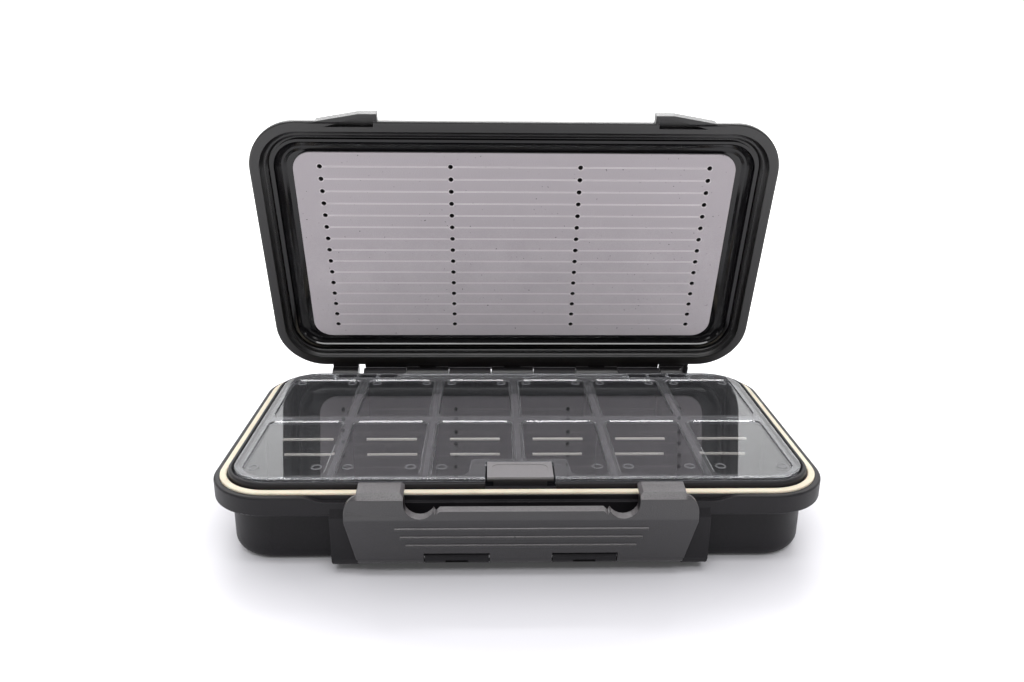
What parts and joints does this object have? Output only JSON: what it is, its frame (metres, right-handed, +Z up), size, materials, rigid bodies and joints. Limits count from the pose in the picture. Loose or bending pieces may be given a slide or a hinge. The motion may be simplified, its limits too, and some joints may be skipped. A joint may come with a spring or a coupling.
{
  "type": "fly box",
  "caption": "Flanged waterproof fly box with a hinged foam-lined lid, a wide hooked latch, a seal and a clear cover over divided compartments.",
  "frame": {"origin": "middle of the underside of the base", "axes": "+Z up, +Y back to the hinge, +X to the right seen from the latch side"},
  "size_m": [0.196, 0.1335, 0.1389],
  "materials": {
    "textured_black_plastic": "fine matt texture, black",
    "insert_black_plastic": "satin black",
    "cream_plastic": "matt cream",
    "seal_rubber": "matt cream silicone",
    "clear_plastic": "clear polished moulding",
    "frosted_plastic": "frosted translucent",
    "steel": "drawn steel pin",
    "spring_steel": "dark spring wire",
    "lid_plastic": "satin warm black",
    "gloss_black_plastic": "polished black",
    "foam": "matt closed-cell foam, mauve grey",
    "latch_plastic": "fine spark-eroded texture, worn lighter at the edges"
  },
  "bodies": {
    "base": {"base_shell": "textured_black_plastic", "compartment_insert": "insert_black_plastic", "label_strips": "cream_plastic", "seal_gasket": "seal_rubber", "inner_cover": "clear_plastic", "cover_hinge_pin_left": "steel", "cover_hinge_pin_right": "steel", "cover_spring_left": "spring_steel", "cover_spring_right": "spring_steel", "lid_hinge_pin": "steel", "latch_pin": "steel"},
    "lid": {"lid_shell": "lid_plastic", "lid_liner": "gloss_black_plastic", "slit_foam": "foam"},
    "latch": {"latch_plate": "latch_plastic"},
    "cover_snap": {"cover_snap_tongue": "frosted_plastic"}
  },
  "joints": [
    {"name": "lid_hinge", "type": "hinge", "parent": "base", "child": "lid", "pos_m": [0, 0.0569, 0.0256], "axis": [-1, 0, 0], "range_deg": [-73, 107]},
    {"name": "latch_pivot", "type": "hinge", "parent": "base", "child": "latch", "pos_m": [0, -0.0545, 0.0068], "axis": [1, 0, 0], "range_deg": [-9, 86]},
    {"name": "snap_press", "type": "hinge", "parent": "base", "child": "cover_snap", "pos_m": [0, -0.0357, 0.02855], "axis": [1, 0, 0], "range_deg": [0, 5], "stiffness_Nm_per_rad": 0.15}
  ]
}
